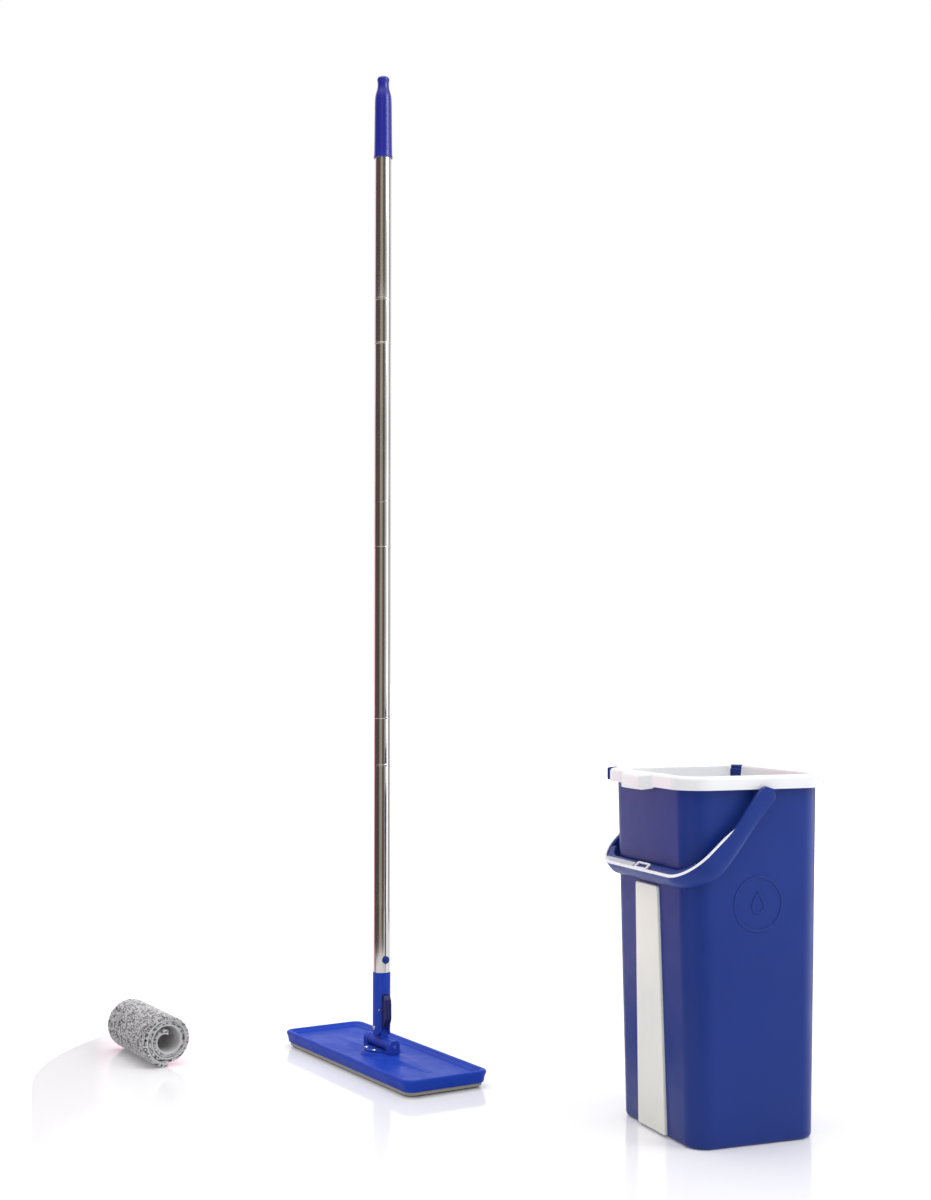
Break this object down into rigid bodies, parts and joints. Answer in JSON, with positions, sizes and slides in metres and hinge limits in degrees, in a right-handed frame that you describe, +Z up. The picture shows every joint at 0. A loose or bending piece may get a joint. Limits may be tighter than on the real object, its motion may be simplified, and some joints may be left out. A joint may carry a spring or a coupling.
{
  "type": "mop and bucket with wringer",
  "caption": "Tall bucket with lift-out two-slot wringer insert and swinging handle, flat mop with folding head on a steel pole, and a rolled spare pad.",
  "frame": {"origin": "centre of the bucket's base, on the floor that the bucket, the mop head and the rolled pad all rest on", "axes": "+Z up, -Y out of the bucket's striped front, +X out of its crest side"},
  "size_m": [0.7164, 0.6433, 1.24],
  "materials": {
    "blue_plastic": "satin gloss moulded plastic",
    "ivory_plastic": "satin moulded plastic",
    "white_plastic": "gloss moulded plastic",
    "insert_plastic": "satin moulded plastic",
    "soft_grey": "soft matte moulding",
    "trim_white": "gloss moulded plastic",
    "head_blue": "gloss moulded plastic",
    "grip_blue": "satin moulded plastic",
    "navy_plastic": "satin moulded plastic",
    "tube_steel": "bright polished tube",
    "fastener_steel": "plain steel",
    "hook_tape": "hook tape",
    "pad_fabric": "woven backing",
    "pad_pile": "speckled looped microfibre"
  },
  "bodies": {
    "bucket": {"bucket_body": "blue_plastic", "front_strip": "ivory_plastic"},
    "insert": {"insert_top": "white_plastic", "wash_shaft": "insert_plastic", "wring_shaft": "insert_plastic", "scrub_strips": "soft_grey", "blade_holder": "insert_plastic", "squeeze_blade": "soft_grey", "insert_screws": "fastener_steel"},
    "handle": {"handle_bail": "blue_plastic", "handle_trim": "trim_white"},
    "mop_head": {"head_plate": "head_blue", "hook_strips": "hook_tape", "pad_backing": "pad_fabric", "pad_pile": "pad_pile", "swivel_base": "head_blue", "swivel_screws": "fastener_steel", "base_pin": "fastener_steel"},
    "swivel": {"swivel_yoke": "grip_blue"},
    "pole": {"lower_sleeve": "grip_blue", "yoke_pin": "fastener_steel", "tab_pin": "fastener_steel", "tab_spring": "fastener_steel", "button_spring": "fastener_steel", "tube_1": "tube_steel", "tube_2": "tube_steel", "tube_3": "tube_steel", "tube_4": "tube_steel", "coupling_1": "tube_steel", "coupling_2": "tube_steel", "coupling_3": "tube_steel", "thread_plug_1": "navy_plastic", "thread_plug_2": "navy_plastic", "thread_plug_3": "navy_plastic", "grip": "grip_blue"},
    "lock_tab": {"lock_tab": "navy_plastic"},
    "snap_button": {"snap_button": "grip_blue"},
    "spare_pad": {"spare_pad_pile": "pad_pile", "spare_pad_backing": "pad_fabric"}
  },
  "joints": [
    {"name": "insert_lift", "type": "slide", "parent": "bucket", "child": "insert", "axis": [0, 0, 1], "range_m": [0, 0.34]},
    {"name": "handle_swing", "type": "hinge", "parent": "bucket", "child": "handle", "pos_m": [0, 0.002, 0.3605], "axis": [-1, 0, 0], "range_deg": [0, 260]},
    {"name": "mop_lift", "type": "slide", "parent": "bucket", "child": "mop_head", "axis": [0, 0, 1], "range_m": [0, 0.4]},
    {"name": "head_tilt", "type": "hinge", "parent": "mop_head", "child": "swivel", "pos_m": [-0.39, -0.25, 0.0288], "axis": [0.9848, 0.1736, 0], "range_deg": [-55, 55]},
    {"name": "head_fold", "type": "hinge", "parent": "swivel", "child": "pole", "pos_m": [-0.39, -0.25, 0.047], "axis": [0.1736, -0.9848, 0], "range_deg": [0, 90]},
    {"name": "tab_press", "type": "hinge", "parent": "pole", "child": "lock_tab", "pos_m": [-0.38153, -0.24851, 0.07], "axis": [0.1736, -0.9848, 0], "range_deg": [0, 8], "stiffness_Nm_per_rad": 0.15, "deforming": ["tab_spring"]},
    {"name": "button_press", "type": "slide", "parent": "pole", "child": "snap_button", "axis": [-0.9848, -0.1736, 0], "range_m": [0, 0.0024], "stiffness_N_per_m": 400, "springref_m": -0.001, "deforming": ["button_spring"]},
    {"name": "spare_pad_lift", "type": "slide", "parent": "bucket", "child": "spare_pad", "axis": [0, 0, 1], "range_m": [0, 0.3]}
  ]
}
